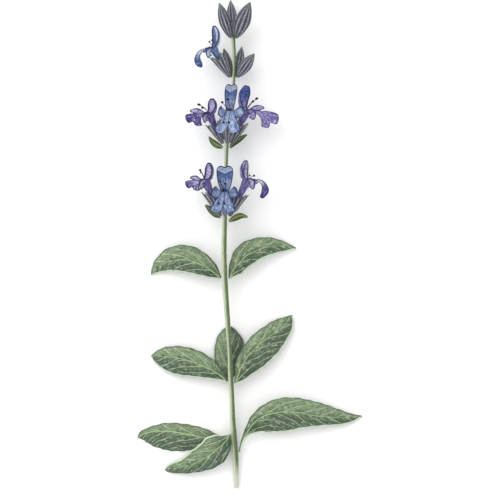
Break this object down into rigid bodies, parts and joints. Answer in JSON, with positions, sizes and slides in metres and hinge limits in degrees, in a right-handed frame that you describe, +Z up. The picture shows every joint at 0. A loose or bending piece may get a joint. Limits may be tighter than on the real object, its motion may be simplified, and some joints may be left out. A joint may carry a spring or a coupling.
{
  "type": "flowering sage sprig",
  "caption": "Cut flowering sage stem lying flat, with grey-green leaves, whorls of two-lipped violet and blue flowers in ribbed calyces, and buds at its tip.",
  "frame": {"origin": "on the table, under the middle of the sprig's box", "axes": "+Y from the cut end to the tip of the stem, +X to the right as the sprig is seen from above with its tip away, +Z up from the table"},
  "size_m": [0.1128, 0.2441, 0.0347],
  "materials": {
    "stem_green": "downy light green stem with a pale side and a darker side",
    "leaf_green": "matte grey-green, puckered, with pale veins and a pale margin",
    "bract_green": "matte olive green",
    "calyx_grey_purple": "matte grey-purple with fine lengthwise ribs and green edges",
    "petal_blue": "soft satin periwinkle blue with darker veins",
    "petal_purple": "soft satin violet with pale and dark streaks",
    "anther_dark": "near-black anthers on thin dark filaments"
  },
  "bodies": {
    "root": {"stem": "stem_green", "leaf_upper_left": "leaf_green", "leaf_upper_right": "leaf_green", "leaf_middle_left": "leaf_green", "leaf_middle_back": "leaf_green", "leaf_middle_right": "leaf_green", "leaf_lower_left_back": "leaf_green", "leaf_lower_left_front": "leaf_green", "leaf_lower_right": "leaf_green", "bract_lower_left_upper": "bract_green", "bract_lower_left": "bract_green", "bract_lower_right": "bract_green", "bract_lower_right_small": "bract_green", "bract_upper_left": "bract_green", "bract_upper_right": "bract_green", "calyx_lower_left": "calyx_grey_purple", "calyx_lower_centre": "calyx_grey_purple", "calyx_lower_right": "calyx_grey_purple", "calyx_lower_back": "calyx_grey_purple", "calyx_upper_left": "calyx_grey_purple", "calyx_upper_centre": "calyx_grey_purple", "calyx_upper_right": "calyx_grey_purple", "calyx_upper_back": "calyx_grey_purple", "calyx_top_left": "calyx_grey_purple", "bud_top_left_back": "calyx_grey_purple", "bud_top_right_front": "calyx_grey_purple", "bud_top_right_back": "calyx_grey_purple", "bud_tip_left": "calyx_grey_purple", "bud_tip_back": "calyx_grey_purple", "bud_tip_right": "calyx_grey_purple", "corolla_lower_left": "petal_purple", "corolla_lower_centre": "petal_blue", "corolla_lower_right": "petal_purple", "corolla_upper_left": "petal_purple", "corolla_upper_centre": "petal_blue", "corolla_upper_right": "petal_purple", "corolla_top_left": "petal_blue", "stamens_lower_left": "anther_dark", "stamens_lower_centre": "anther_dark", "stamens_lower_right": "anther_dark", "stamens_upper_left": "anther_dark", "stamens_upper_centre": "anther_dark", "stamens_upper_right": "anther_dark", "stamens_top_left": "anther_dark", "stamens_lower_centre_front": "anther_dark", "stamens_upper_centre_front": "anther_dark"}
  },
  "joints": []
}
